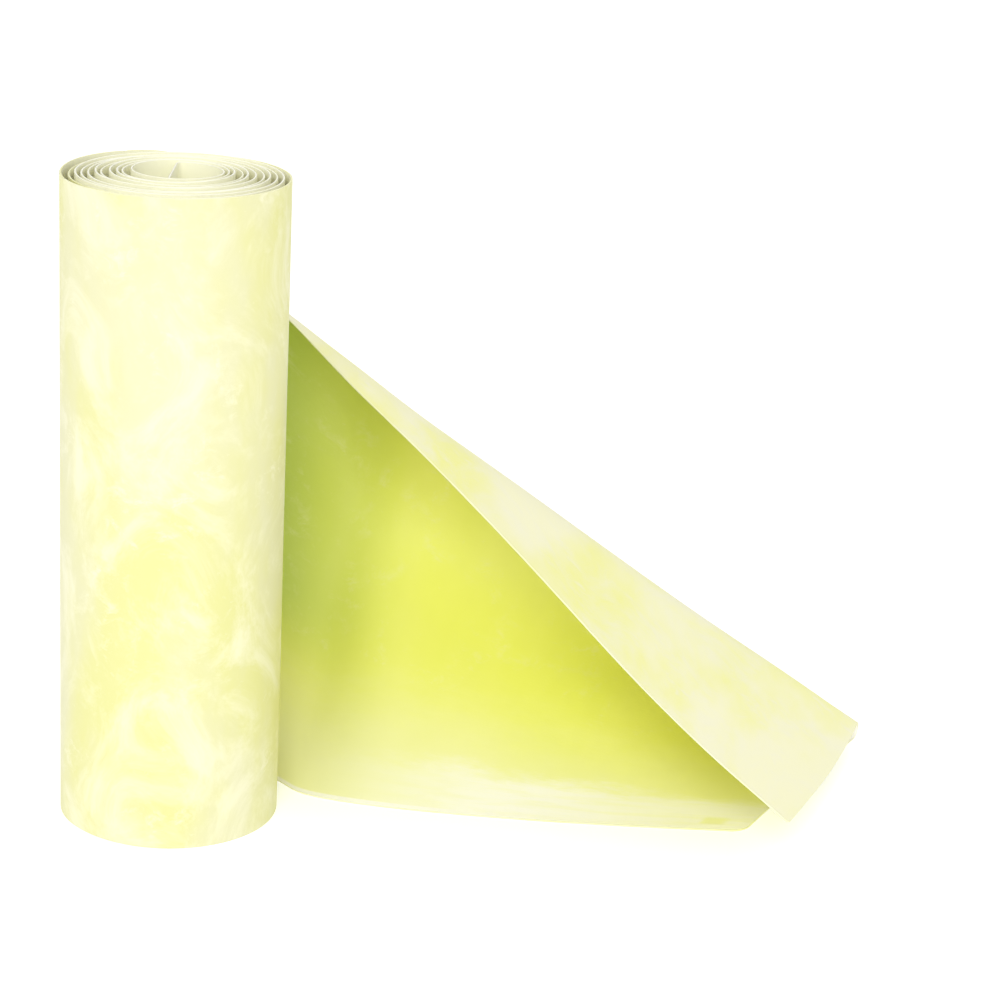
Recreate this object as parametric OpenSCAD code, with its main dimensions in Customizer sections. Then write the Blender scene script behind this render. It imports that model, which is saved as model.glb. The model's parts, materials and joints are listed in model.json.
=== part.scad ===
// A flat latex exercise band, wound into a loose roll that stands on end.
// The free end leaves the roll at its left, passes behind it and comes out to the right,
// where its upper half is turned over towards the front and its lower half lies on the table.
// The whole object is one strip. Each node is a length of it: a turn of the roll, or a stretch
// of the free end between two lines where the strip bends.

/* [Band] */
// Width of the band, which is the height of the roll
band_w = 150; // [145:1:155]
// Thickness of the latex
band_t = 0.5; // [0.3:0.05:0.6]

/* [Roll] */
// Radius of the open eye, to the middle of the latex
eye_r = 9.6; // [8.5:0.1:10.5]
// Mean growth in radius with each turn
turn_pitch = 1.5; // [1.3:0.05:1.55]
// How much less of each turn's growth falls at the back than at the front
turn_drift = 0.55; // [0.2:0.05:0.6]
// Angle at which the winding starts on the eye, from the right
wind_start = 84; // [70:1:88]
// Radius of the bend where the inner end turns across the eye
tuck_r = 1.2; // [0.8:0.1:2]
// Length of the straight inner end across the eye
tuck_len = 17; // [12:0.5:17.5]

/* [Loose end] */
// Where the lower edge comes clear of the roll, from the roll's axis
clear_x = 29; // [28.5:0.5:31]
// The same, towards the back
clear_y = 7; // [5:0.5:8]
// Reach of the cut end to the right of the roll's axis
end_x = 140.5; // [132:0.5:144]
// How far the lower corner of the cut end lies towards the front
end_y = -17.5; // [-20:0.5:-14]
// Slit along each line where the strip bends
slit = 0.6; // [0.4:0.1:1]

/* [Hidden] */

// The origin is the middle of the footprint, on the table: the roll's axis stands at roll_at
roll_at = [-74.3, -17];

pale = [0.96, 0.94, 0.66];
lime = [0.86, 0.88, 0.38];
$fn = 96;

// ---- Winding: quarter arcs, each tangent to the next ----
turns = 11;
// Growth where the winding passes the right, the front, the left and the back
growth = [
    turn_pitch / 4,
    turn_pitch / 4 - turn_drift / 2,
    turn_pitch / 4,
    turn_pitch / 4 + turn_drift / 2
];
// The eye sits towards the back by what the drift adds up to
eye_at = [0.3, turn_drift * (turns - 0.5)];

function aim(a) = [cos(a), sin(a)];
function arc_from(k) = k == 0 ? wind_start : -90 * (k - 1);
function arc_to(k) = -90 * k;
function arc_r(k) = k == 0 ? eye_r : arc_r(k - 1) + growth[(k - 1) % 4];
function arc_at(k) = k == 0 ? eye_at : arc_at(k - 1) - growth[(k - 1) % 4] * aim(arc_from(k));
// A turn starts and ends at the left. The first has only three arcs
function first_arc(n) = n == 1 ? 0 : 4 * n - 5;
function last_arc(n) = 4 * n - 2;
last_k = last_arc(turns);
wind_end = arc_at(last_k) - [arc_r(last_k), 0];

// ---- Loose end: sections of constant width, swept along the lower edge ----
// Station 0 is at the left of the roll, 1 behind it, 2 where the strip comes clear of it, and
// 5 the cut end. Each list below holds the values at stations 1 to 5
// Compass direction in which the section leans, from +X
lean = [135, 84.5, 73.5, 53.5, 56.5];
// Slope of the section at its foot, at the top of its rise, and on the part turned over
foot_slope = [90, 17, 22.5, 8.5, 0];
rise_slope = [90, 66, 36.5, 21, 0];
flap_slope = [90, 180.5, 182, 183.5, 174.5];
// Middle of the crest as a part of the width, and the crest's length
crest_mid = [0.588, 0.812, 0.658, 0.518, 0.44];
crest_len = [46, 87, 96, 46, 7];
// How far the turned-over part swings round from the lean
flap_swing = [20, -11, 4, 22, 7];
// Lengths of the lower edge's curve handles: at the left, before and after the point where it
// comes clear of the roll, and at the cut end
handles = [33, 31, 10, 55];
clear_dir = -62.5;
end_dir = -4.5;
// Stations between which the strip is divided, and where the flap's bending line starts
side_end = 0.5;
back_end = 1;
root_mid = 1.5;
root_end = 2;
near_end = 3.5;
fold_start = 3;
flap_start = 3.1;
flap_mid = 4;
cut_end = 5;
// Width at which the bending line reaches the cut end, as a part of the whole
fold_end = 0.5;
// The end is cut a little aslant. How short it is at the lower edge, in stations, the part of the
// width above which it is square, and the station from which the rows turn
cut_slant = 0.115;
square_above = 0.83;
slant_from = 4;

// Lower edge from one station to the next, behind the roll, and the slit as a part of it
station_run = 45;
slit_share = slit / station_run;

// A short way along the strip, in stations, to find directions with
station_bit = 0.01;

// Facets of the inner end's small bend, and rows and columns of each kind of sheet
tuck_facets = 48;
upright_rows = 12;
root_rows = 8;
root_columns = 20;
tail_rows = 12;
panel_columns = 10;
bend_columns = 10;
flap_rows = 8;
flap_columns = 5;
// Least straight width beyond the bend that gets columns of its own
straight_least = 1;

// Points across each section
steps = 150;
dv = band_w / steps;

function smooth(x) = let (c = max(0, min(1, x))) c * c * (3 - 2 * c);
function unit(p) = p / norm(p);
function bezier(p, q, r, s, x) =
    pow(1 - x, 3) * p + 3 * pow(1 - x, 2) * x * q + 3 * (1 - x) * x * x * r + pow(x, 3) * s;

// A smooth curve through the values of a list, and straight on at its two ends
function at_knot(list, i) =
    i < 0 ? 2 * list[0] - list[1]
    : i >= len(list) ? 2 * list[len(list) - 1] - list[len(list) - 2]
    : list[i];
function through(list, s) = let (
    x = max(0, min(len(list) - 1, s - 1)),
    i = min(floor(x), len(list) - 2),
    f = x - i,
    a = at_knot(list, i - 1),
    b = list[i],
    c = list[i + 1],
    d = at_knot(list, i + 2)
) 0.5 * (2 * b + (c - a) * f + (2 * a - 5 * b + 4 * c - d) * f * f
    + (3 * b - a - 3 * c + d) * f * f * f);

clear_at = [clear_x, clear_y];
end_at = [end_x, end_y];
// Lower edge of the strip, seen from above
function foot(s) = s <= root_end
    ? bezier(wind_end, wind_end + [0, handles[0]], clear_at - handles[1] * aim(clear_dir),
        clear_at, s / root_end)
    : bezier(clear_at, clear_at + handles[2] * aim(clear_dir), end_at - handles[3] * aim(end_dir),
        end_at, (s - root_end) / (cut_end - root_end));

// One step across a section, at the width v
function pace(v, az, a0, a1, a2, v0, len, turn) = let (
    over = smooth((v - v0) / len),
    slope = a0 + (a1 - a0) * smooth(v / v0) + (a2 - a1) * over,
    dir = aim(az + turn * over)
) dv * [cos(slope) * dir[0], cos(slope) * dir[1], sin(slope)];
// One section: points from the lower edge to the upper one
function section(s) = let (
    az = through(lean, s),
    a0 = through(foot_slope, s),
    a1 = through(rise_slope, s),
    a2 = through(flap_slope, s),
    len = through(crest_len, s),
    v0 = through(crest_mid, s) * band_w - len / 2,
    turn = through(flap_swing, s),
    p0 = foot(s)
) [for (
    i = 0, p = [p0[0], p0[1], band_t / 2 * abs(cos(a0))];
    i <= steps;
    p = p + pace((i + 0.5) * dv, az, a0, a1, a2, v0, len, turn), i = i + 1
) p];

// A point of a section at the width v, and the side of the latex that faces out of the roll
function point_at(sec, v) = let (
    q = max(0, min(steps - 0.001, v / dv)),
    i = floor(q)
) sec[i] + (q - i) * (sec[i + 1] - sec[i]);
function outward(before, sec, after, v) = unit(cross(
    point_at(after, v) - point_at(before, v),
    point_at(sec, min(band_w, v + dv)) - point_at(sec, max(0, v - dv))
));

// The sections just before a station, at it and just after it
function near(s) = [section(s - station_bit), section(s), section(min(cut_end, s + station_bit))];

function crest_start(s) = through(crest_mid, s) * band_w - through(crest_len, s) / 2;
function crest_stop(s) = through(crest_mid, s) * band_w + through(crest_len, s) / 2;

// The flap bends along a straight line, from the upper edge to the crest at the cut end
fold_from = point_at(section(fold_start), band_w);
fold_to = point_at(section(cut_end), fold_end * band_w);
fold_dir = unit(fold_to - fold_from);
function bending_line(s) = s <= fold_start ? band_w : let (
    sec = section(s),
    v1 = crest_stop(s),
    a = point_at(sec, v1),
    across = point_at(sec, band_w) - a,
    n = cross(across, fold_dir),
    part = cross(fold_from - a, fold_dir) * n / (n * n)
) v1 + (band_w - v1) * part;

// How far the slanted cut takes a row back at the width v, in stations
function cut_back(s, v) = cut_slant * (1 - smooth(v / (square_above * band_w)))
    * max(0, (s - slant_from) / (cut_end - slant_from));
function fold_at(s) = bending_line(s - cut_back(s, bending_line(s)));

// ---- Solids ----
module arc_wall(k) {
    translate([arc_at(k)[0], arc_at(k)[1], 0])
        rotate([0, 0, arc_to(k)])
            rotate_extrude(angle = arc_from(k) - arc_to(k))
                translate([arc_r(k) - band_t / 2, 0])
                    square([band_t, band_w]);
}

module turn(n) {
    color(n % 2 == 0 ? pale : lime)
        translate([roll_at[0], roll_at[1], 0])
            for (k = [first_arc(n) : last_arc(n)]) arc_wall(k);
}

// The inner end stands across the eye and bends into the first turn
module inner_end() {
    start = eye_at + eye_r * aim(wind_start);
    heading = wind_start - 90;
    color(lime)
        translate([roll_at[0] + start[0], roll_at[1] + start[1], 0])
            rotate([0, 0, heading])
                translate([0, -tuck_r, 0]) {
                    rotate([0, 0, 90])
                        rotate_extrude(angle = 90, $fn = tuck_facets)
                            translate([tuck_r - band_t / 2, 0])
                                square([band_t, band_w]);
                    translate([-tuck_r - band_t / 2, -tuck_len, 0])
                        cube([band_t, tuck_len, band_w]);
                }
}

// An upright stretch of the loose turn, from station s0 to s1
module upright(s0, s1, n) {
    rows = [for (i = [0 : n]) s0 + (s1 - s0) * i / n];
    function side(s, k) = let (
        d = foot(s + station_bit) - foot(max(0, s - station_bit)),
        out = [-d[1], d[0]] / norm(d)
    ) foot(s) + k * band_t / 2 * out;
    color(pale)
        translate([roll_at[0], roll_at[1], 0])
            linear_extrude(height = band_w)
                polygon(concat(
                    [for (s = rows) side(s, 1)],
                    [for (i = [n : -1 : 0]) side(rows[i], -1)]
                ));
}

// A curved stretch: stations in rows, and widths[i] holds the points across row i
module sheet(rows, widths) {
    nr = len(rows);
    nv = len(widths[0]);
    grid = [for (i = [0 : nr - 1]) let (square = near(rows[i])) for (v = widths[i]) let (
        back = cut_back(rows[i], v),
        secs = back > 0 ? near(rows[i] - back) : square
    ) [point_at(secs[1], v), outward(secs[0], secs[1], secs[2], v)]];
    function id(i, j, k) = k * nr * nv + i * nv + j;
    cells = [for (i = [0 : nr - 2], j = [0 : nv - 2]) [i, j]];
    polyhedron(
        points = concat(
            [for (g = grid) g[0] + band_t / 2 * g[1]],
            [for (g = grid) g[0] - band_t / 2 * g[1]]
        ),
        faces = concat(
            [for (c = cells) each [
                [id(c[0], c[1], 0), id(c[0] + 1, c[1] + 1, 0), id(c[0] + 1, c[1], 0)],
                [id(c[0], c[1], 0), id(c[0], c[1] + 1, 0), id(c[0] + 1, c[1] + 1, 0)],
                [id(c[0], c[1], 1), id(c[0] + 1, c[1], 1), id(c[0] + 1, c[1] + 1, 1)],
                [id(c[0], c[1], 1), id(c[0] + 1, c[1] + 1, 1), id(c[0], c[1] + 1, 1)]
            ]],
            [for (i = [0 : nr - 2]) each [
                [id(i, 0, 0), id(i + 1, 0, 0), id(i + 1, 0, 1)],
                [id(i, 0, 0), id(i + 1, 0, 1), id(i, 0, 1)],
                [id(i, nv - 1, 0), id(i + 1, nv - 1, 1), id(i + 1, nv - 1, 0)],
                [id(i, nv - 1, 0), id(i, nv - 1, 1), id(i + 1, nv - 1, 1)]
            ]],
            [for (j = [0 : nv - 2]) each [
                [id(0, j, 0), id(0, j + 1, 1), id(0, j + 1, 0)],
                [id(0, j, 0), id(0, j, 1), id(0, j + 1, 1)],
                [id(nr - 1, j, 0), id(nr - 1, j + 1, 0), id(nr - 1, j + 1, 1)],
                [id(nr - 1, j, 0), id(nr - 1, j + 1, 1), id(nr - 1, j, 1)]
            ]]
        ),
        convexity = 6
    );
}

function steps_between(a, b, n) = [for (i = [0 : n]) a + (b - a) * i / n];

module placed_sheet(rows, widths, shade) {
    color(shade)
        translate([roll_at[0], roll_at[1], 0])
            sheet(rows, widths);
}

module loose_turn_side() upright(slit_share, side_end - slit_share, upright_rows);
module loose_turn_back() upright(side_end + slit_share, back_end - slit_share, upright_rows);

module tail_root(s0, s1) {
    rows = steps_between(s0, s1, root_rows);
    placed_sheet(rows, [for (s = rows) steps_between(0, band_w, root_columns)], lime);
}

module tail_panel(s0, s1) {
    rows = steps_between(s0, s1, tail_rows);
    placed_sheet(rows, [for (s = rows) steps_between(0, crest_start(s), panel_columns)], lime);
}

module tail_crest(s0, s1) {
    rows = steps_between(s0, s1, tail_rows);
    placed_sheet(rows, [for (s = rows) let (
        v0 = crest_start(s),
        v1 = crest_stop(s),
        v2 = fold_at(s) - (s > fold_start ? slit / 2 : 0)
    ) v2 > v1 + straight_least
        ? concat(steps_between(v0, v1, bend_columns), [(v1 + v2) / 2, v2])
        : steps_between(v0, v2, bend_columns + 2)], pale);
}

module flap(s0, s1) {
    rows = steps_between(s0, s1, flap_rows);
    placed_sheet(rows, [for (s = rows) steps_between(fold_at(s) + slit / 2, band_w, flap_columns)],
        pale);
}

inner_end();
turn(1);  // turn_01
turn(2);  // turn_02
turn(3);  // turn_03
turn(4);  // turn_04
turn(5);  // turn_05
turn(6);  // turn_06
turn(7);  // turn_07
turn(8);  // turn_08
turn(9);  // turn_09
turn(10);  // turn_10
turn(11);  // turn_11
loose_turn_side();
loose_turn_back();
tail_root(back_end + slit_share, root_mid);  // tail_root_back
tail_root(root_mid, root_end);  // tail_root_side
tail_panel(root_end, near_end);  // tail_panel_near
tail_panel(near_end, cut_end);  // tail_panel_end
tail_crest(root_end, near_end);  // tail_crest_near
tail_crest(near_end, cut_end);  // tail_crest_end
flap(flap_start, flap_mid);  // flap_middle
flap(flap_mid, cut_end);  // flap_corner
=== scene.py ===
# A flat latex exercise band in a loose upright roll, with its free end turned over, in a white
# studio. The band is one strip. Each piece here is a length of it, as thick as the latex, which
# rides on the body that it belongs to or lies between two of them, shaped to reach from one to the
# other.
import json
import math

import bpy
import numpy as np
from mathutils import Matrix, Vector


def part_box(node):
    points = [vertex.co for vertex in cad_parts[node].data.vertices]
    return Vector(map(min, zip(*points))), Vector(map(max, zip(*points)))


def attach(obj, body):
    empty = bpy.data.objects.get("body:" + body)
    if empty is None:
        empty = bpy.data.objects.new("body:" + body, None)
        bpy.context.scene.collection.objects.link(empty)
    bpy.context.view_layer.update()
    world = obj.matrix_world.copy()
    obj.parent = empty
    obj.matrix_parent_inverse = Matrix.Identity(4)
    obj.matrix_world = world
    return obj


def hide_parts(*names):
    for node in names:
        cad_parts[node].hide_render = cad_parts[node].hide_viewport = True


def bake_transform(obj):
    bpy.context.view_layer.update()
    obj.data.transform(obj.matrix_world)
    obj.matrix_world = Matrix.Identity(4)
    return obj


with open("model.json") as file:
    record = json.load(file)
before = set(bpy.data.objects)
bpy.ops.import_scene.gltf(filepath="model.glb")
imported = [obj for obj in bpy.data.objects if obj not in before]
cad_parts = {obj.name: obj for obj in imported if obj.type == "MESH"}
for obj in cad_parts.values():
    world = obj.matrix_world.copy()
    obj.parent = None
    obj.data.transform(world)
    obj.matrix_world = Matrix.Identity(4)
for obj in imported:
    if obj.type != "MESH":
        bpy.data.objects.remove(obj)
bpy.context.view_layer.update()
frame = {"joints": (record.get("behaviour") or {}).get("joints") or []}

# ---- Dimensions, in metres and degrees, the same as in the CAD part ----
MM = 0.001
BAND_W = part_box("turn_11")[1].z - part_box("turn_11")[0].z
BAND_T = 0.5 * MM
HALF = BAND_T / 2
TURNS = 11
EYE_R = 9.6 * MM
TURN_PITCH = 1.5 * MM
TURN_DRIFT = 0.55 * MM
WIND_START = 84
TUCK_R = 1.2 * MM
TUCK_LEN = 17 * MM
GROWTH = [TURN_PITCH / 4 + share * TURN_DRIFT for share in (0, -0.5, 0, 0.5)]
EYE_AT = np.array([0.3 * MM, TURN_DRIFT * (TURNS - 0.5)])

# The free end: station 0 is at the left of the roll, 1 behind it, 2 where the strip comes clear of
# it and 5 the cut end. A list of five holds the values at stations 1 to 5
LEAN = [135, 84.5, 73.5, 53.5, 56.5]
FOOT_SLOPE = [90, 17, 22.5, 8.5, 0]
RISE_SLOPE = [90, 66, 36.5, 21, 0]
FLAP_SLOPE = [90, 180.5, 182, 183.5, 174.5]
CREST_MID = [0.588, 0.812, 0.658, 0.518, 0.44]
CREST_LEN = [46 * MM, 87 * MM, 96 * MM, 46 * MM, 7 * MM]
FLAP_SWING = [20, -11, 4, 22, 7]
HANDLES = [33 * MM, 31 * MM, 10 * MM, 55 * MM]
CLEAR_AT = np.array([29.0, 7.0]) * MM
CLEAR_DIR = -62.5
END_AT = np.array([140.5, -17.5]) * MM
END_DIR = -4.5
ROOT_END, FOLD_START, FOLD_MID, CUT_END = 2, 3, 4.0, 5
FOLD_END = 0.5
FOLD_RUN_ON = 40 * MM
CUT_SLANT, SQUARE_ABOVE, SLANT_FROM = 0.115, 0.83, 4
STEPS = 150

# Where one piece ends and the next starts, and how far the bending reaches each side of a hinge
SIDE_MID, BACK_MID, TAIL_FROM = 0.25, 0.75, 1.4
FOLD_REACH = 7 * MM
CORNER_R = 3 * MM
TIP_R = 1.5 * MM

# Meshes: columns across the strip, of which the wound part keeps every fifth, and rows along it
COLUMNS = 101
WOUND_SKIP = 5
TURNOVER_COLUMNS = 13
FLAP_COLUMNS = 41
TUCK_ROWS = 14
TUCK_BEND_STEPS = 6
WIND_STEP = 4  # degrees
SEAM_ROWS = 4  # the wound part's last rows, which belong to the next piece
SIDE_STEPS, BACK_STEPS, ROOT_STEPS = 12, 24, 28
CLEAR_STEPS, RISE_STEPS, CORNER_STEPS, FREE_STEPS = 26, 34, 12, 70
END_FROM = 4.8  # station from which rows crowd towards the cut end
END_STEPS = 12
CROSSING_STEPS = 800
SLIVER = 0.02 * MM  # least width that a row of the flap or of its fold keeps
NEAR_STATIONS, NEAR_WIDTH = 0.01, 1.5 * MM  # reach either side when a direction is measured
EPS = 1e-6
EDGE_ROUND = 0.55 * HALF

# Creases across the strip are eased over this length from station 1 on, hardly before 0.7, and
# less within three such lengths of the cut end
EASE = 3.5 * MM
EASE_FROM, EASE_RISE = 0.7, 0.3
LEAST_EASE = 0.02 * MM
TABLE_STEP = 0.005

# Unevenness: two ripples in mm with their lengths in m, and the turns' sway as (mm, waves each
# turn, drift each turn, start)
RIPPLE_SLOW, RIPPLE_QUICK = 0.16, 0.05
SLOW_ALONG, SLOW_ACROSS, SLOW_SKEW = 0.0171, 0.031, 0.07
SLOW_WAVER, WAVER_LENGTH = 2.2, 0.043
QUICK_ALONG, QUICK_ACROSS, QUICK_SLANT, QUICK_SKEW = 0.0083, 0.0125, 0.021, 0.034
SWAYS = [(0.16, 1, 2.1, 0.6), (0.13, 2, 3.7, 1.9), (0.10, 3, 5.3, 0.0)]
SWAY_FRONT = 0.6
# The wound part has this share of the ripple, which dies out with the sway over these lengths of
# strip at its inner and outer ends
WOUND_RIPPLE = 0.35
SETTLE_IN, SETTLE_OUT = 0.03, 0.02
# Edges of the turns: how far they stand unlevel, how far they flare, and how both drift turn by turn
EDGE_DROP, LOW_SHARE = 0.22 * MM, 0.5
FLARE = 0.12 * MM
TOP_DRIFT, LOW_DRIFT, FLARE_DRIFT = 2.4, 2.9, 7
# The free end's ripple starts this far off the floor, and from this station
LIFT_FROM, LIFT_OVER = 0.5 * MM, 8 * MM
RIPPLE_FROM, RIPPLE_RISE = 0.1, 0.5

# Light
SURROUND, KEY_POWER, FLOOR_GLOW = 0.86, 11.6, 0.40
KEY_AT, KEY_TARGET, KEY_SIZE = (-0.30, -1.45, 1.0), (0.0, 0.0, 0.05), (0.8, 0.8)
FLOOR_HALF = 4.0
FLOOR_DROP = 0.02 * MM
FLOOR_WHITE, GLOW_WHITE = (0.84, 0.84, 0.84, 1), (1, 1, 1, 1)
FLOOR_ROUGHNESS, FLOOR_SPECULAR = 0.9, 0.1

# Camera: degrees it turns to the right, down and about its own axis, its lens in mm, and how far it
# stands in front of the roll's own origin and above the floor
YAW, PITCH, TWIST = 7.10, 18.31, 2.89
SENSOR, LENS = 36, 99.5724
CAMERA_BACK, CAMERA_UP = 0.5987, 0.2756
CLIP_END = 20

HINGES = {j["name"]: np.array(j["pos_m"]) for j in frame["joints"]}


def aim(degrees):
    a = np.radians(degrees)
    return np.stack([np.cos(a), np.sin(a)], -1)


def smooth(x):
    c = np.clip(x, 0, 1)
    return c * c * (3 - 2 * c)


def unit(v):
    return v / np.linalg.norm(v, axis=-1, keepdims=True)


# ---- The winding, as quarter arcs, each tangent to the next ----
def winding_arcs():
    """(centre, radius, start angle, end angle) of each arc, from the eye outwards."""
    arcs = [(EYE_AT, EYE_R, WIND_START, 0)]
    for k in range(4 * TURNS - 2):
        centre, radius, _, joint = arcs[-1]
        grown = GROWTH[k % 4]
        arcs.append((centre - grown * aim(joint), radius + grown, joint, joint - 90))
    return arcs


ARCS = winding_arcs()
WIND_END = ARCS[-1][0] - np.array([ARCS[-1][1], 0])
ROLL_AT = HINGES["peel_side"][:2] - WIND_END


def winding_line():
    """The strip's middle line from its inner end to the outside of the roll: (points, outward
    directions, angles)."""
    points, outs, angles = [], [], []
    start = EYE_AT + EYE_R * aim(WIND_START)
    heading = aim(WIND_START - 90)
    inward = aim(WIND_START + 180)
    bend_at = start + TUCK_R * inward
    for x in np.linspace(TUCK_LEN, 1 * MM, TUCK_ROWS):
        points.append(bend_at - TUCK_R * heading + x * inward)
        outs.append(-heading)
        angles.append(WIND_START)
    for a in np.linspace(0, 90, TUCK_BEND_STEPS + 1)[:-1]:
        out = aim(WIND_START - 90 + 180 - a)
        points.append(bend_at + TUCK_R * out)
        outs.append(out)
        angles.append(WIND_START)
    for centre, radius, a0, a1 in ARCS:
        n = max(2, round((a0 - a1) / WIND_STEP))
        for a in np.linspace(a0, a1, n + 1)[:-1]:
            points.append(centre + radius * aim(a))
            outs.append(aim(a))
            angles.append(a)
    return np.array(points), np.array(outs), np.array(angles)


# ---- The free end, as sections of constant width swept along the lower edge ----
def through(values, s):
    """A smooth curve through a list's values at stations 1 to 5, held at them beyond its ends."""
    k = np.asarray(values, float)
    k = np.concatenate([[2 * k[0] - k[1]], k, [2 * k[-1] - k[-2]]])
    x = np.clip(np.asarray(s, float) - 1, 0, len(values) - 1)
    i = np.minimum(np.floor(x).astype(int), len(values) - 2)
    f = x - i
    a, b, c, d = k[i], k[i + 1], k[i + 2], k[i + 3]
    square = (2 * a - 5 * b + 4 * c - d) * f * f
    return 0.5 * (2 * b + (c - a) * f + square + (3 * b - a - 3 * c + d) * f**3)


def bezier(p, q, r, s, x):
    x = x[:, None]
    return (1 - x) ** 3 * p + 3 * (1 - x) ** 2 * x * q + 3 * (1 - x) * x * x * r + x**3 * s


def foot(s):
    """Lower edge of the strip, seen from above, in the roll's own frame."""
    s = np.atleast_1d(np.asarray(s, float))
    loose = bezier(
        WIND_END,
        WIND_END + np.array([0, HANDLES[0]]),
        CLEAR_AT - HANDLES[1] * aim(CLEAR_DIR),
        CLEAR_AT,
        np.clip(s / ROOT_END, 0, 1),
    )
    free = bezier(
        CLEAR_AT,
        CLEAR_AT + HANDLES[2] * aim(CLEAR_DIR),
        END_AT - HANDLES[3] * aim(END_DIR),
        END_AT,
        np.clip((s - ROOT_END) / (CUT_END - ROOT_END), 0, None),
    )
    return np.where((s <= ROOT_END)[:, None], loose, free)


def crest_start(s):
    return through(CREST_MID, s) * BAND_W - through(CREST_LEN, s) / 2


def crest_stop(s):
    return crest_start(s) + through(CREST_LEN, s)


def sections(s):
    """Points across the strip at each station: an array of stations by STEPS + 1 by 3."""
    s = np.atleast_1d(np.asarray(s, float))
    dv = BAND_W / STEPS
    v = (np.arange(STEPS)[None, :] + 0.5) * dv
    start = crest_start(s)[:, None]
    a0, a1, a2 = (through(k, s)[:, None] for k in (FOOT_SLOPE, RISE_SLOPE, FLAP_SLOPE))
    over = smooth((v - start) / through(CREST_LEN, s)[:, None])
    slope = np.radians(a0 + (a1 - a0) * smooth(v / start) + (a2 - a1) * over)
    way = np.radians(through(LEAN, s)[:, None] + through(FLAP_SWING, s)[:, None] * over)
    step = [np.cos(slope) * np.cos(way), np.cos(slope) * np.sin(way), np.sin(slope)]
    at = foot(s)
    first = np.stack([at[:, 0], at[:, 1], HALF * np.abs(np.cos(np.radians(a0[:, 0])))], -1)
    rest = first[:, None, :] + np.cumsum(dv * np.stack(step, -1), axis=1)
    return np.concatenate([first[:, None, :], rest], axis=1)


def along_section(section, v):
    """Points of one section, or of one section per v row, at the widths v."""
    q = np.clip(np.asarray(v) / BAND_W * STEPS, 0, STEPS - EPS)
    i = np.floor(q).astype(int)
    f = (q - i)[..., None]
    if section.ndim == 2:
        return section[i] * (1 - f) + section[i + 1] * f
    rows = np.arange(len(section))[:, None]
    return section[rows, i] * (1 - f) + section[rows, i + 1] * f


FOLD_FROM = sections(FOLD_START)[0][STEPS]
FOLD_TO = along_section(sections(CUT_END)[0], FOLD_END * BAND_W)
FOLD_DIR = unit(FOLD_TO - FOLD_FROM)


def cut_back(s, v):
    """How far the slanted cut takes a row back at the width v, in stations."""
    short = CUT_SLANT * (1 - smooth(v / (SQUARE_ABOVE * BAND_W)))
    return short * np.clip((s - SLANT_FROM) / (CUT_END - SLANT_FROM), 0, None)


def bending_line(s):
    """Width at which the flap's bending line crosses each station. It runs on straight before
    FOLD_START."""
    s = np.atleast_1d(np.asarray(s, float))
    on = np.maximum(s, FOLD_START)
    section = sections(on)
    v1 = crest_stop(on)
    a = along_section(section, v1[:, None])[:, 0]
    across = section[:, -1] - a
    normal = np.cross(across, FOLD_DIR)
    part = np.sum(np.cross(FOLD_FROM - a, FOLD_DIR) * normal, -1) / np.sum(normal**2, -1)
    return v1 + (BAND_W - v1) * part + FOLD_RUN_ON * (on - s)


def fold_at(s):
    """The same along a row that the slanted cut takes back."""
    return bending_line(s - cut_back(s, bending_line(s)))


# ---- The strip's own coordinates, which the latex's marks follow: along it, and across it ----
STATION_GRID = np.arange(round(CUT_END / TABLE_STEP) + 1) * TABLE_STEP
SHARP = sections(STATION_GRID)
ROW_GAPS = np.linalg.norm(np.diff(SHARP, axis=0), axis=2).mean(1)
STATION_RUN = np.concatenate([[0], np.cumsum(ROW_GAPS)])


def eased(table, run):
    """The surface with its creases across the strip rounded off, as rubber can't hold them."""
    reach = EASE * smooth((STATION_GRID - EASE_FROM) / EASE_RISE)
    reach = np.clip(np.minimum(reach, (run[-1] - run) / 3), LEAST_EASE, None)[:, None]
    apart = (run[:, None] - run[None, :]) / reach
    weight = np.exp(-(apart**2) / 2) * np.gradient(run)[None, :]
    weight /= weight.sum(1, keepdims=True)
    return np.einsum("ik,kvc->ivc", weight, table)


TABLE = eased(SHARP, STATION_RUN)


def run_at(s):
    """Length of strip from the left of the roll to station s."""
    return np.interp(s, STATION_GRID, STATION_RUN)


def ripple(run, v):
    """Slow unevenness of soft latex, in metres off its smooth shape."""
    slow = np.sin(run / SLOW_ALONG + SLOW_WAVER * np.sin(v / WAVER_LENGTH))
    slow = slow * np.sin(v / SLOW_ACROSS + run / SLOW_SKEW)
    quick = np.sin(run / QUICK_ALONG + v / QUICK_SLANT) * np.sin(v / QUICK_ACROSS - run / QUICK_SKEW)
    return (RIPPLE_SLOW * slow + RIPPLE_QUICK * quick) * MM


def lookup(s, v):
    """Points of the free end's middle surface in the roll's own frame, from the sections' table."""
    x = np.clip(s, 0, CUT_END - EPS) / TABLE_STEP
    y = np.clip(v / BAND_W * STEPS, 0, STEPS - EPS)
    i, j = np.floor(x).astype(int), np.floor(y).astype(int)
    f, g = (x - i)[..., None], (y - j)[..., None]
    near = TABLE[i, j] * (1 - g) + TABLE[i, j + 1] * g
    return near * (1 - f) + (TABLE[i + 1, j] * (1 - g) + TABLE[i + 1, j + 1] * g) * f


def facing(surface, s, v):
    """Direction out of the roll of a surface at stations s and widths v."""
    h, e = NEAR_STATIONS, NEAR_WIDTH
    along = surface(np.clip(s + h, 0, CUT_END), v) - surface(np.clip(s - h, 0, CUT_END), v)
    across = surface(s, np.clip(v + e, 0, BAND_W)) - surface(s, np.clip(v - e, 0, BAND_W))
    return unit(np.cross(across, along))


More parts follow.
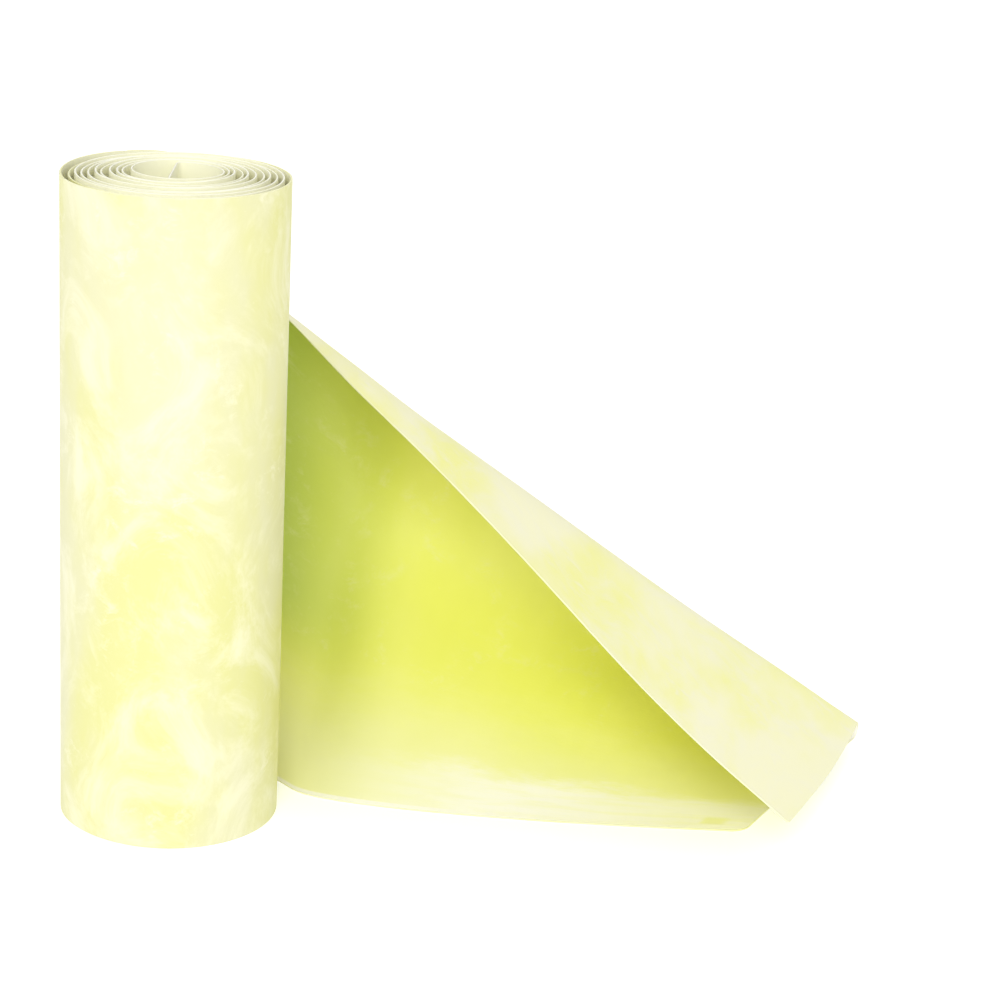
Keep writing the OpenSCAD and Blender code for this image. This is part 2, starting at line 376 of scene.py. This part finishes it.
def free_surface(s, v):
    """The free end in place, with the ripple of soft latex, which dies out at the roll and on the
    floor."""
    at = lookup(s, v)
    lift = smooth((at[..., 2] - LIFT_FROM) / LIFT_OVER) * smooth((s - RIPPLE_FROM) / RIPPLE_RISE)
    points = at + (ripple(run_at(s), v) * lift)[..., None] * facing(lookup, s, v)
    points[..., :2] += ROLL_AT
    return points


def free_grid(rows, v):
    """(points, outward normals, strip coordinates) of a stretch of the free end, given stations and
    each row's widths."""
    v = v + 0 * rows[:, None]
    s = rows[:, None] - cut_back(rows[:, None], v)
    strip = np.stack([run_at(s), v, 0 * v], -1)
    return free_surface(s, v), facing(free_surface, s, v), strip


def wound_grid(columns):
    """The same as free_grid gives, of the wound part. Its turns sway a little, and
    their edges aren't level."""
    line, outs, angles = winding_line()
    run = np.concatenate([[0], np.cumsum(np.linalg.norm(np.diff(line, axis=0), axis=1))])
    run = run - run[-1] - np.linalg.norm(WIND_END - line[-1])
    line = np.concatenate([line, [WIND_END]])
    outs = np.concatenate([outs, [[-1.0, 0.0]]])
    angles = np.concatenate([angles, [-180.0 - 360 * (TURNS - 1)]])
    run = np.concatenate([run, [0.0]])
    turned = (WIND_START - angles) / 360
    around = np.radians(angles)
    leaving = smooth(-run / SETTLE_OUT)
    settled = smooth((run - run[0]) / SETTLE_IN) * leaving
    sway = sum(a * np.sin(n * around + w * turned + p) for a, n, w, p in SWAYS)
    sway = sway * settled * (1 - SWAY_FRONT * np.sin(around)) * MM
    top = BAND_W - EDGE_DROP * (1 + np.sin(TOP_DRIFT * turned + around)) * leaving
    low = LOW_SHARE * EDGE_DROP * (1 + np.sin(LOW_DRIFT * turned + 2 * around)) * leaving
    share = np.linspace(0, 1, columns)[None, :]
    z = low[:, None] + (top - low)[:, None] * share
    flare = FLARE * np.sin(FLARE_DRIFT * turned + 2 * around)[:, None] * (2 * share - 1) ** 3
    off = sway[:, None] + (WOUND_RIPPLE * ripple(run[:, None], z) + flare) * settled[:, None]
    points = np.empty((len(line), columns, 3))
    points[..., :2] = (line + ROLL_AT)[:, None, :] + off[..., None] * outs[:, None, :]
    points[..., 2] = z
    normals = unit(np.cross(np.gradient(points, axis=1), np.gradient(points, axis=0)))
    strip = np.stack([run[:, None] + 0 * z, z, 0 * z], -1)
    return points, normals, strip


# ---- Meshes ----
def rim_loop(rows, cols):
    """Grid places round the edge of a sheet, in order."""
    loop = [(0, j) for j in range(cols)]
    loop += [(i, cols - 1) for i in range(1, rows)]
    loop += [(rows - 1, j) for j in range(cols - 2, -1, -1)]
    loop += [(i, 0) for i in range(rows - 2, 0, -1)]
    return np.array(loop)


def latex_piece(name, grid, cut):
    """A closed sheet as thick as the latex, on a grid of points along the strip (rows) and across
    it. cut says whether the first row, last row, first column and last column are cut edges, which
    are rounded, or seams to the next piece. A column's entry may be one flag for each row."""
    points, normals, strip = grid
    rows, cols = points.shape[:2]
    first, last = cut[:2]
    low, high = (np.broadcast_to(np.asarray(c), rows) for c in cut[2:])
    r, c = rim_loop(rows, cols).T
    edge, edge_out = points[r, c], normals[r, c]
    side = unit(np.cross(np.roll(edge, -1, axis=0) - np.roll(edge, 1, axis=0), edge_out))
    seam = ((r == 0) & (not first)) | ((r == rows - 1) & (not last))
    seam |= ((c == 0) & ~low[r]) | ((c == cols - 1) & ~high[r])
    rim = edge + side * (EDGE_ROUND * ~seam)[:, None]
    n = rows * cols
    flat = normals.reshape(-1, 3)
    middle = points.reshape(-1, 3)
    verts = np.concatenate([middle + HALF * flat, middle - HALF * flat, rim])
    vert_normals = np.concatenate([flat, -flat, side])
    where = np.concatenate([strip.reshape(-1, 3), strip.reshape(-1, 3), strip[r, c]])
    i, j = np.meshgrid(np.arange(rows - 1), np.arange(cols - 1), indexing="ij")
    a = (i * cols + j).ravel()
    outer = np.stack([a, a + 1, a + cols + 1, a + cols], -1)
    inner = n + outer[:, ::-1]
    p = r * cols + c
    q = np.roll(p, -1)
    m = 2 * n + np.arange(len(r))
    m_next = np.roll(m, -1)
    upper = np.stack([q, p, m, m_next], -1)
    lower = np.stack([m_next, m, n + p, n + q], -1)
    faces = np.concatenate([outer, inner, upper, lower])
    shades = np.repeat([0, 1, 2, 2], [len(outer), len(inner), len(upper), len(lower)])
    mesh = bpy.data.meshes.new(name)
    mesh.from_pydata(verts.tolist(), [], faces.tolist())
    mesh.polygons.foreach_set("material_index", shades.astype(np.int32))
    mesh.polygons.foreach_set("use_smooth", np.ones(len(faces), bool))
    mesh.attributes.new("strip", "FLOAT_VECTOR", "POINT").data.foreach_set("vector", where.ravel())
    for material in LATEX:
        mesh.materials.append(material)
    mesh.update()
    mesh.normals_split_custom_set_from_vertices(vert_normals.tolist())
    piece = bpy.data.objects.new(name, mesh)
    bpy.context.scene.collection.objects.link(piece)
    return piece


def flat_area(grid):
    """Area of the strip that a grid covers, measured on the strip itself."""
    strip = grid[2][..., :2]
    a, b = strip[1:, 1:] - strip[:-1, :-1], strip[1:, :-1] - strip[:-1, 1:]
    return float(np.abs(a[..., 0] * b[..., 1] - a[..., 1] * b[..., 0]).sum() / 2)


# ---- Materials ----
def link(tree, value, socket):
    """Sets a socket to a number or a colour, or joins it to another node's output."""
    if isinstance(value, (int, float)):
        socket.default_value = value
    elif isinstance(value, tuple):
        socket.default_value = (*value, 1)
    else:
        tree.links.new(value, socket)


def noise(tree, vector, stretch, scale, detail=4.0, roughness=0.55, distortion=0.0, shift=0.0):
    """Noise over the strip. stretch scales the coordinates along it and across it."""
    mapping = tree.nodes.new("ShaderNodeMapping")
    mapping.inputs["Scale"].default_value = (stretch[0], stretch[1], 1)
    mapping.inputs["Location"].default_value = (shift, shift, shift)
    texture = tree.nodes.new("ShaderNodeTexNoise")
    texture.inputs["Scale"].default_value = scale
    texture.inputs["Detail"].default_value = detail
    texture.inputs["Roughness"].default_value = roughness
    texture.inputs["Distortion"].default_value = distortion
    tree.links.new(vector, mapping.inputs["Vector"])
    tree.links.new(mapping.outputs["Vector"], texture.inputs["Vector"])
    return texture.outputs["Fac"]


def between(tree, value, low, high):
    """0 where value is at low or beyond, 1 at high or beyond, and smooth between."""
    ramp = tree.nodes.new("ShaderNodeMapRange")
    ramp.interpolation_type = "SMOOTHSTEP"
    ramp.inputs["From Min"].default_value = min(low, high)
    ramp.inputs["From Max"].default_value = max(low, high)
    ramp.inputs["To Min"].default_value = float(low > high)
    ramp.inputs["To Max"].default_value = float(low < high)
    tree.links.new(value, ramp.inputs["Value"])
    return ramp.outputs["Result"]


def sums(tree, operation, first, second):
    node = tree.nodes.new("ShaderNodeMath")
    node.operation = operation
    link(tree, first, node.inputs[0])
    link(tree, second, node.inputs[1])
    return node.outputs[0]


def mixed(tree, share, first, second):
    node = tree.nodes.new("ShaderNodeMix")
    node.data_type = "RGBA"
    link(tree, share, node.inputs["Factor"])
    link(tree, first, node.inputs[6])
    link(tree, second, node.inputs[7])
    return node.outputs[2]


def scaled(tree, value, factor):
    return sums(tree, "MULTIPLY", value, factor)


# Where the colours change, in metres along the strip from the left of the roll and up from its lower
# edge: painted light and painted shade on one latex. Below 0 it is wound
# Inside the roll the faces take their near-white wound colour: painted light, for light that passes
# through the thin turns
INSIDE = (-0.19, -0.17)  # outer face and cut edge: the last turn is outermost
INSIDE_INNER = (0.05, 0.062)  # inner face, which is hidden until it is behind the roll
# From here on the outer face takes the free end's paler colours: painted light
FREE_END = (0.05, 0.10)
# Painted shade: the inner face turns a deeper green beside the roll, high up, where it lies in shade
PAINTED_SHADE_RUNS, PAINTED_SHADE_WIDTHS = (0.135, 0.055), (0.030, 0.060)
END_RUN = STATION_RUN[-1]

# Marks in the latex: each is a noise, and the values of it between which the mark appears
PATCHES = dict(stretch=(1.0, 0.4), scale=30, detail=4.0)
PATCHES_SHOW = (0.40, 0.62)
SMEARS = dict(stretch=(1.0, 0.8), scale=44, detail=8.0, roughness=0.70, distortion=1.0)
SMEARS_BELOW, SMEARS_ABOVE = 0.06, 0.18  # either side of a material's cover
FINE = dict(stretch=(0.8, 1.0), scale=210, detail=8.0, roughness=0.78, distortion=0.5)
FINE_SHOW = (0.47, 0.66)
CLOUDS = dict(stretch=(1.0, 0.7), scale=60, detail=4.0, roughness=0.6, distortion=0.4, shift=7.0)
CLOUDS_SHOW = (0.44, 0.62)
SPECKS = dict(stretch=(1.0, 1.0), scale=480, detail=3.0, roughness=0.7)
SPECKS_SHOW = (0.60, 0.80)
BORDER = dict(stretch=(0.3, 1.0), scale=90, detail=8.0, roughness=0.72, shift=3.0)
STREAKS = dict(stretch=(0.12, 1.0), scale=420, detail=4.0, roughness=0.6)
STREAKS_SHOW = (0.30, 0.62)
GRAIN = dict(stretch=(1.0, 1.0), scale=900, detail=3.0, roughness=0.6)
LINES = dict(stretch=(0.12, 1.0), scale=300, detail=3.0, roughness=0.6)

# How strongly each kind of talc covers, and each part of the painted light along the lower edge
SMEAR_TALC, CLOUD_TALC, SPECK_TALC = 0.75, 0.8, 0.4
SOFT_LIGHT, STREAK_SHARE, LIP_HIGHLIGHT, END_LIGHT, GAP_SHARE = 0.6, 0.3, 0.8, 0.85, 0.8

# The painted light along the free end's lower edge and cut end, a pale band where the sheet lies
# flat and faces up, and where it lies
LOW_EDGE_LIGHT = (0.99, 0.965, 0.95)
SOFT_WIDTH, SHARP_WIDTH, LIP_WIDTH = (0.058, 0.020), (0.0285, 0.0215), (0.0016, 0.0010)
BORDER_WANDER = 0.018
SHARP_RUN = (0.10, 0.19)
END_LIGHT_RUN = (END_RUN - 0.009, END_RUN - 0.004)

# A patch near the lower corner which the pale band of painted light leaves out, so it stays darker
GAP_RUN = END_RUN - 0.017
GAP_STARTS, GAP_STOPS = (GAP_RUN, GAP_RUN + 0.0015), (GAP_RUN + 0.007, GAP_RUN + 0.0045)
GAP_BOTTOM, GAP_TOP = (0.0022, 0.0034), (0.0075, 0.0055)

ROUGHNESS, SPECULAR = 0.5, 0.35
BUMP, BUMP_STRENGTH = 0.05 * MM, 0.5


def marks(tree, strip, kind, show):
    return between(tree, noise(tree, strip, **kind), *show)


def talc_dust(tree, strip, cover, dust):
    """How much talc lies anywhere on the strip: broad smears, clouds of fine marks, and specks."""
    smears = marks(tree, strip, SMEARS, (cover - SMEARS_BELOW, cover + SMEARS_ABOVE))
    fine = marks(tree, strip, FINE, FINE_SHOW)
    where = marks(tree, strip, CLOUDS, CLOUDS_SHOW)
    clouds = scaled(tree, scaled(tree, fine, where), CLOUD_TALC)
    specks = marks(tree, strip, SPECKS, SPECKS_SHOW)
    dusted = sums(tree, "MAXIMUM", scaled(tree, smears, SMEAR_TALC), clouds)
    dusted = sums(tree, "MAXIMUM", dusted, scaled(tree, specks, SPECK_TALC))
    return scaled(tree, dusted, dust)


def low_edge_light_band(tree, strip, run, width, strength):
    """(thin, thick): how strongly painted light shows on the inner face along the free end's lower
    edge
    and cut end: a pale band where the sheet lies flat and faces up, and a painted highlight on its
    lip."""
    wander = noise(tree, strip, **BORDER)
    at = sums(tree, "ADD", width, scaled(tree, wander, BORDER_WANDER))
    soft = scaled(tree, between(tree, at, *SOFT_WIDTH), SOFT_LIGHT)
    streaky = marks(tree, strip, STREAKS, STREAKS_SHOW)
    streaky = sums(tree, "ADD", scaled(tree, streaky, STREAK_SHARE), 1 - STREAK_SHARE)
    sharp = scaled(tree, between(tree, at, *SHARP_WIDTH), strength)
    sharp = scaled(tree, sharp, streaky)
    sharp = scaled(tree, sharp, between(tree, run, *SHARP_RUN))
    gap = scaled(tree, between(tree, width, *GAP_BOTTOM), between(tree, width, *GAP_TOP))
    gap = scaled(tree, gap, between(tree, run, *GAP_STARTS))
    gap = scaled(tree, gap, between(tree, run, *GAP_STOPS))
    sharp = scaled(tree, sharp, sums(tree, "SUBTRACT", 1.0, scaled(tree, gap, GAP_SHARE)))
    at_end = between(tree, run, *END_LIGHT_RUN)
    sharp = sums(tree, "MAXIMUM", sharp, scaled(tree, at_end, END_LIGHT))
    # Painted highlight: a pale line along the curled lip of the lower edge
    lip = scaled(tree, between(tree, width, *LIP_WIDTH), LIP_HIGHLIGHT)
    return soft, sums(tree, "MAXIMUM", sharp, lip)


def latex_grain(tree, strip, shader):
    """A faint relief: grain, and lines along the strip."""
    grain = noise(tree, strip, **GRAIN)
    lines = noise(tree, strip, **LINES)
    bump = tree.nodes.new("ShaderNodeBump")
    bump.inputs["Distance"].default_value = BUMP
    bump.inputs["Strength"].default_value = BUMP_STRENGTH
    tree.links.new(sums(tree, "ADD", grain, lines), bump.inputs["Height"])
    tree.links.new(bump.outputs["Normal"], shader.inputs["Normal"])


def latex(
    name, base, deep, talc, cover, dust, wound, wound_runs, painted_shade_near_roll=None, low_edge_light=0.0, end_painted_light=None
):
    """Matt latex: a base colour with deeper patches, under talc. cover is the noise value about which
    smears appear, dust the strength of all the talc, wound the near-white colour inside the roll,
    painted light for light that passes through the turns, which it has fully taken by the first of
    wound_runs, painted_shade_near_roll the painted shade, a deeper green, where the strip comes clear
    of the roll, low_edge_light how strongly the painted light along the lower edge shows, and
    end_painted_light the free end's two colours, paler than the roll's: painted light on one latex."""
    material = bpy.data.materials.new(name)
    material.use_nodes = True
    tree = material.node_tree
    shader = tree.nodes["Principled BSDF"]
    attribute = tree.nodes.new("ShaderNodeAttribute")
    attribute.attribute_name = "strip"
    strip = attribute.outputs["Vector"]
    parts = tree.nodes.new("ShaderNodeSeparateXYZ")
    tree.links.new(strip, parts.inputs[0])
    run, width = parts.outputs[0], parts.outputs[1]
    patches = marks(tree, strip, PATCHES, PATCHES_SHOW)
    colour = mixed(tree, patches, base, deep)
    # Painted shade: a deeper green on the inner face beside the roll
    if painted_shade_near_roll:
        share = scaled(tree, between(tree, run, *PAINTED_SHADE_RUNS), between(tree, width, *PAINTED_SHADE_WIDTHS))
        colour = mixed(tree, share, colour, painted_shade_near_roll)
    # Painted light: the free end's outer face is paler than the roll's, though it is the same latex
    if end_painted_light:
        pale = mixed(tree, patches, *end_painted_light)
        colour = mixed(tree, between(tree, run, *FREE_END), colour, pale)
    # Painted light: the turns inside the roll take the near-white wound colour
    colour = mixed(tree, between(tree, run, wound_runs[1], wound_runs[0]), colour, wound)
    dusted = talc_dust(tree, strip, cover, dust)
    # Painted light: the pale band along the lower edge and cut end, whose soft part takes the talc
    # colour
    if low_edge_light:
        thin, thick = low_edge_light_band(tree, strip, run, width, low_edge_light)
        dusted = sums(tree, "MAXIMUM", dusted, thin)
    colour = mixed(tree, dusted, colour, talc)
    if low_edge_light:
        colour = mixed(tree, thick, colour, LOW_EDGE_LIGHT)
    tree.links.new(colour, shader.inputs["Base Color"])
    shader.inputs["Roughness"].default_value = ROUGHNESS
    shader.inputs["Specular IOR Level"].default_value = SPECULAR
    latex_grain(tree, strip, shader)
    return material


# The outer face, the inner face and the cut edge. Their near-white wound colours are painted light
# inside the roll. The outer face is one latex on the roll and on the free end: its darker colours on
# the roll are painted shade and its paler colours on the free end painted light.
LATEX = [
    latex(
        "latex_outer", (0.715, 0.70, 0.44), (0.715, 0.705, 0.30), (0.87, 0.85, 0.64), 0.50, 0.85,
        wound=(0.99, 0.98, 0.75), wound_runs=INSIDE,
        end_painted_light=((0.89, 0.87, 0.57), (0.86, 0.855, 0.30)),
    ),
    latex(
        "latex_inner", (0.87, 0.875, 0.21), (0.85, 0.865, 0.175), (0.94, 0.92, 0.66), 0.70, 0.3,
        wound=(0.99, 0.98, 0.76), wound_runs=INSIDE_INNER, painted_shade_near_roll=(0.33, 0.50, 0.078), low_edge_light=1.0,
    ),
    latex(
        "latex_cut_edge", (0.89, 0.88, 0.54), (0.88, 0.87, 0.47), (0.91, 0.90, 0.66), 0.45, 0.8,
        wound=(0.98, 0.97, 0.84), wound_runs=INSIDE,
    ),
]


# ---- Pieces, from the inner end of the strip to its cut end ----
def declare(grid, nodes, flat=None):
    """Hides the CAD nodes that a piece stands for, and measures the flat sheet that it is on the
    strip, which is then not used.
    """
    if nodes:
        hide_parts(*nodes)
    strip = grid[2].reshape(-1, 3)
    long, wide = (float(x) for x in np.ptp(strip[:, :2], axis=0))
    wide, long = flat or (wide, long)


def rows_of(*stretches):
    """Stations of a piece's rows: each stretch is (from, to, number of steps)."""
    rows = [np.linspace(a, b, n + 1)[:-1] for a, b, n in stretches]
    return np.concatenate([*rows, [stretches[-1][1]]])


wound = wound_grid(COLUMNS)
seam_row = len(wound[0]) - 1 - SEAM_ROWS
roll_grid = tuple(a[: seam_row + 1, ::WOUND_SKIP] for a in wound)
roll = latex_piece("latex_roll", roll_grid, (True, False, True, True))
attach(roll, "roll")
declare(roll_grid, ["inner_end", *[f"turn_{n:02d}" for n in range(1, TURNS + 1)]])

width = np.linspace(0, BAND_W, COLUMNS)[None, :]
side_rows = rows_of((0, SIDE_MID, SIDE_STEPS))[1:]
side_grid = tuple(
    np.concatenate([a[seam_row:], b]) for a, b in zip(wound, free_grid(side_rows, width))
)
side = latex_piece("latex_leaving_roll", side_grid, (False, False, True, True))
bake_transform(side)
declare(side_grid, ["loose_turn_side"])

back_rows = rows_of((SIDE_MID, BACK_MID, BACK_STEPS))
back_grid = free_grid(back_rows, width)
back = latex_piece("latex_loose_turn", back_grid, (False, False, True, True))
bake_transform(back)
declare(back_grid, ["loose_turn_back"])

root_rows = rows_of((BACK_MID, TAIL_FROM, ROOT_STEPS))
root_grid = free_grid(root_rows, width)
root = latex_piece("latex_behind_roll", root_grid, (False, False, True, True))
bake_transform(root)
declare(root_grid, ["tail_root_back"])


# The free end is one grid of stations, cut along the flap's bending line
def crossing(shift):
    """Station where the bending line, moved that far across the strip, meets the upper edge."""
    s = np.linspace(ROOT_END, SLANT_FROM, CROSSING_STEPS + 1)
    return float(np.interp(-(BAND_W - shift), -fold_at(s), s))


strip_from, flap_from = crossing(-FOLD_REACH), crossing(FOLD_REACH)
crowded = 1 - np.sin(np.linspace(0, np.pi / 2, END_STEPS + 1))
end_rows = CUT_END - (CUT_END - END_FROM) * crowded
free_rows = rows_of(
    (TAIL_FROM, ROOT_END, CLEAR_STEPS),
    (ROOT_END, strip_from, RISE_STEPS),
    (strip_from, flap_from, CORNER_STEPS),
    (flap_from, END_FROM, FREE_STEPS),
)
free_rows = np.concatenate([free_rows, end_rows[1:]])
fold = fold_at(free_rows)


def rounding(v_edge, radius):
    """How far the rounded corner of the cut end takes each row back from an edge."""
    edge = lookup(free_rows - cut_back(free_rows, v_edge), v_edge + 0 * free_rows)
    left = np.linalg.norm(edge - edge[-1], axis=1)
    inside = np.clip(radius - left, 0, None)
    return radius - np.sqrt(radius**2 - inside**2)


def spread(low, high, columns):
    return low[:, None] + (high - low)[:, None] * np.linspace(0, 1, columns)[None, :]


lower = rounding(0.0, CORNER_R)
upper = BAND_W - rounding(BAND_W, TIP_R)
panel_v = spread(lower, np.minimum(BAND_W, fold - FOLD_REACH), COLUMNS)
panel_grid = free_grid(free_rows, panel_v)
panel = latex_piece("latex_panel", panel_grid, (False, True, True, free_rows < strip_from))
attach(panel, "tail")
declare(
    panel_grid,
    ["tail_root_side", "tail_panel_near", "tail_panel_end", "tail_crest_near", "tail_crest_end"],
)

on = free_rows >= strip_from - EPS
strip_low = fold[on] - FOLD_REACH
strip_high = np.maximum(np.minimum(upper, fold + FOLD_REACH)[on], strip_low + SLIVER)
strip_grid = free_grid(free_rows[on], spread(strip_low, strip_high, TURNOVER_COLUMNS))
turnover = latex_piece("latex_turnover", strip_grid, (True, True, False, free_rows[on] < flap_from))
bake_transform(turnover)
fold_length = float(np.linalg.norm(FOLD_TO - FOLD_FROM))
declare(strip_grid, [], (flat_area(strip_grid) / fold_length, fold_length))

on = free_rows >= flap_from - EPS
flap_low = fold[on] + FOLD_REACH
flap_high = np.maximum(upper[on], flap_low + SLIVER)
flap_grid = free_grid(free_rows[on], spread(flap_low, flap_high, FLAP_COLUMNS))
flap = latex_piece("latex_flap", flap_grid, (True, True, False, True))
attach(flap, "flap")
declare(flap_grid, ["flap_middle", "flap_corner"])


# ---- The studio: a white floor, an even white surround and one large soft light ----
def stage_floor():
    mesh = bpy.data.meshes.new("floor")
    s = FLOOR_HALF
    mesh.from_pydata([(-s, -s, 0), (s, -s, 0), (s, s, 0), (-s, s, 0)], [], [(0, 1, 2, 3)])
    floor = bpy.data.objects.new("floor", mesh)
    floor.location.z = -FLOOR_DROP
    material = bpy.data.materials.new("floor_white")
    material.use_nodes = True
    shader = material.node_tree.nodes["Principled BSDF"]
    shader.inputs["Base Color"].default_value = FLOOR_WHITE
    shader.inputs["Roughness"].default_value = FLOOR_ROUGHNESS
    shader.inputs["Specular IOR Level"].default_value = FLOOR_SPECULAR
    shader.inputs["Emission Color"].default_value = GLOW_WHITE
    shader.inputs["Emission Strength"].default_value = FLOOR_GLOW
    mesh.materials.append(material)
    bpy.context.scene.collection.objects.link(floor)


def area_light(name, at, target, size, power):
    data = bpy.data.lights.new(name, "AREA")
    data.shape = "RECTANGLE"
    data.size, data.size_y = size
    data.energy = power
    light = bpy.data.objects.new(name, data)
    light.location = at
    light.rotation_euler = (Vector(target) - Vector(at)).to_track_quat("-Z", "Y").to_euler()
    bpy.context.scene.collection.objects.link(light)


stage_floor()
world = bpy.data.worlds.new("white_surround")
bpy.context.scene.world = world
world.use_nodes = True
surround = world.node_tree.nodes["Background"]
surround.inputs["Color"].default_value = GLOW_WHITE
surround.inputs["Strength"].default_value = SURROUND
area_light("key", KEY_AT, KEY_TARGET, KEY_SIZE, KEY_POWER)

scene = bpy.context.scene
scene.view_settings.view_transform = "Standard"
scene.view_settings.look = "None"

# ---- The camera ----
yaw, pitch, twist = (math.radians(a) for a in (YAW, PITCH, TWIST))
level_part = math.cos(pitch)
forward = Vector((math.sin(yaw) * level_part, math.cos(yaw) * level_part, -math.sin(pitch)))
level = Vector((math.cos(yaw), -math.sin(yaw), 0))
steep = level.cross(forward)
right = math.cos(twist) * level + math.sin(twist) * steep
up = -math.sin(twist) * level + math.cos(twist) * steep
camera_data = bpy.data.cameras.new("camera")
camera_data.sensor_width = SENSOR
camera_data.lens = LENS
camera_data.clip_end = CLIP_END
camera = bpy.data.objects.new("camera", camera_data)
view = Matrix((right, up, -forward)).transposed().to_4x4()
view.translation = Vector((ROLL_AT[0], ROLL_AT[1] - CAMERA_BACK, CAMERA_UP))
camera.matrix_world = view
scene.collection.objects.link(camera)
scene.camera = camera
